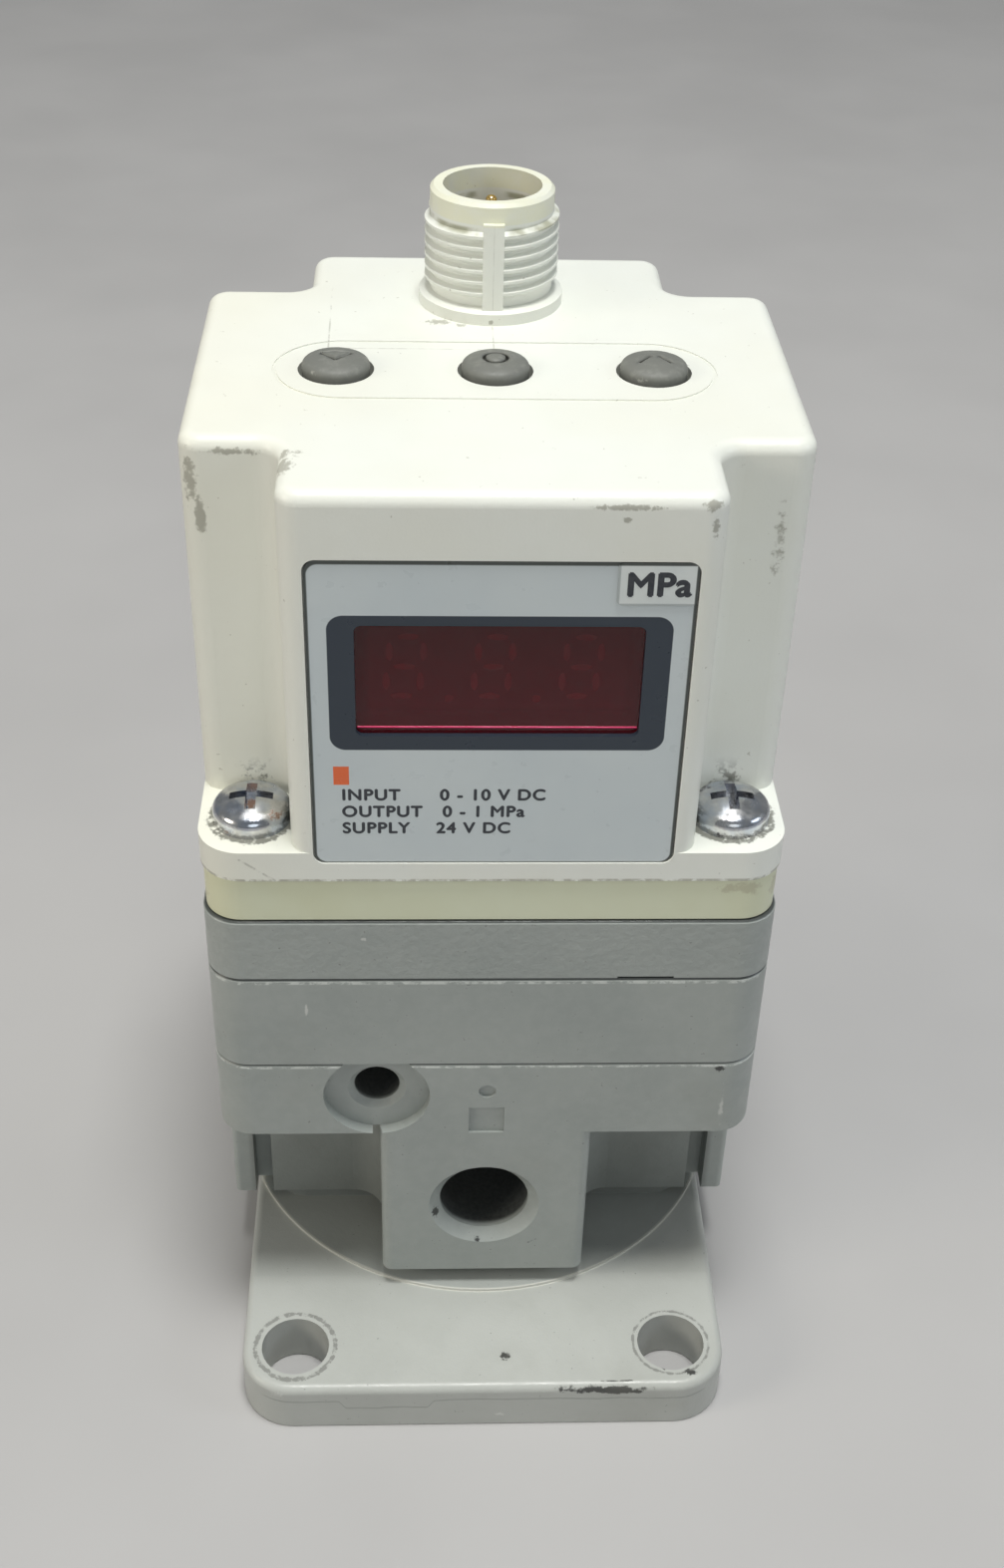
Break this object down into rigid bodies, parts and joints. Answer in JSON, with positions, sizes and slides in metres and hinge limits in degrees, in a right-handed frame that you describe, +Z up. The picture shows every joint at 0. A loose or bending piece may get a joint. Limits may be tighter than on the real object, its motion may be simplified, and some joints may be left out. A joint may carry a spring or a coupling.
{
  "type": "electro-pneumatic regulator",
  "caption": "Pilot-operated air pressure regulator: stacked painted plates, white cover with display, press keys and round threaded connector, on a flat mounting bracket.",
  "frame": {"origin": "centre of the mounting bracket's underside", "axes": "+Z up through the valve and the connector side of the cover, -Y out of the display, +X towards the outlet port"},
  "size_m": [0.0506, 0.073, 0.1043],
  "materials": {
    "grey_paint": "fine orange-peel paint, worn bright at the seams",
    "white_plastic": "satin moulded plastic, slightly yellowed",
    "cream_plastic": "satin moulded plastic, yellowed",
    "label_sheet": "printed sheet",
    "red_filter": "dark red, smooth",
    "display_plastic": "dark potting with seven-segment windows",
    "button_grey": "fine matt",
    "screw_zinc": "bright zinc, lightly worn",
    "steel": "turned",
    "turned_aluminium": "turned",
    "turned_brass": "turned",
    "gold_pin": "gold plated",
    "nitrile": "moulded rubber",
    "green_board": "solder-masked board",
    "black_plastic": "moulded plastic",
    "coil_case": "moulded coil case"
  },
  "bodies": {
    "housing": {"mounting_bracket": "grey_paint", "valve_body": "grey_paint", "bonnet": "grey_paint", "pilot_block": "grey_paint", "bracket_screws": "screw_zinc", "cover_screws": "screw_zinc", "body_screws": "screw_zinc", "solenoid_screws": "screw_zinc", "board_screws": "screw_zinc", "guide_plug": "turned_aluminium", "valve_guide": "turned_brass", "valve_guide_seal": "nitrile", "valve_tail_seal": "nitrile", "main_diaphragm": "nitrile", "sensor_seal": "nitrile", "pilot_gasket": "nitrile", "cover_gasket": "nitrile", "valve_spring": "steel", "circuit_base": "cream_plastic", "cover": "white_plastic", "connector_insert": "black_plastic", "connector_pins": "gold_pin", "supply_solenoid": "coil_case", "exhaust_solenoid": "coil_case", "pressure_sensor": "steel", "control_board": "green_board", "display_board": "green_board", "button_board": "green_board", "board_header": "black_plastic", "led_display": "display_plastic", "display_window": "red_filter", "name_plate": "label_sheet", "unit_tag": "label_sheet", "switch_down": "black_plastic", "switch_set": "black_plastic", "switch_up": "black_plastic"},
    "button_down": {"button_down": "button_grey", "switch_plunger_down": "black_plastic"},
    "button_set": {"button_set": "button_grey", "switch_plunger_set": "black_plastic"},
    "button_up": {"button_up": "button_grey", "switch_plunger_up": "black_plastic"},
    "diaphragm_stack": {"diaphragm_plate_lower": "turned_aluminium", "diaphragm_plate_upper": "turned_aluminium", "diaphragm_stem": "turned_brass", "diaphragm_nut": "steel"},
    "main_valve": {"main_valve": "turned_aluminium", "valve_disc": "nitrile"}
  },
  "joints": [
    {"name": "down_button_slide", "type": "slide", "parent": "housing", "child": "button_down", "axis": [0, 0, -1], "range_m": [0, 0.0006], "stiffness_N_per_m": 1500, "springref_m": -0.0006},
    {"name": "set_button_slide", "type": "slide", "parent": "housing", "child": "button_set", "axis": [0, 0, -1], "range_m": [0, 0.0006], "stiffness_N_per_m": 1500, "springref_m": -0.0006},
    {"name": "up_button_slide", "type": "slide", "parent": "housing", "child": "button_up", "axis": [0, 0, -1], "range_m": [0, 0.0006], "stiffness_N_per_m": 1500, "springref_m": -0.0006},
    {"name": "diaphragm_slide", "type": "slide", "parent": "housing", "child": "diaphragm_stack", "axis": [0, 0, -1], "range_m": [0, 0.0012], "stiffness_N_per_m": 1200, "springref_m": -0.001, "deforming": ["main_diaphragm"]},
    {"name": "main_valve_slide", "type": "slide", "parent": "housing", "child": "main_valve", "axis": [0, 0, -1], "range_m": [0, 0.0012], "stiffness_N_per_m": 1200, "springref_m": -0.001, "deforming": ["valve_spring"]}
  ],
  "couplings": [
    {"joint": "main_valve_slide", "follows": "diaphragm_slide", "ratio": 1}
  ]
}
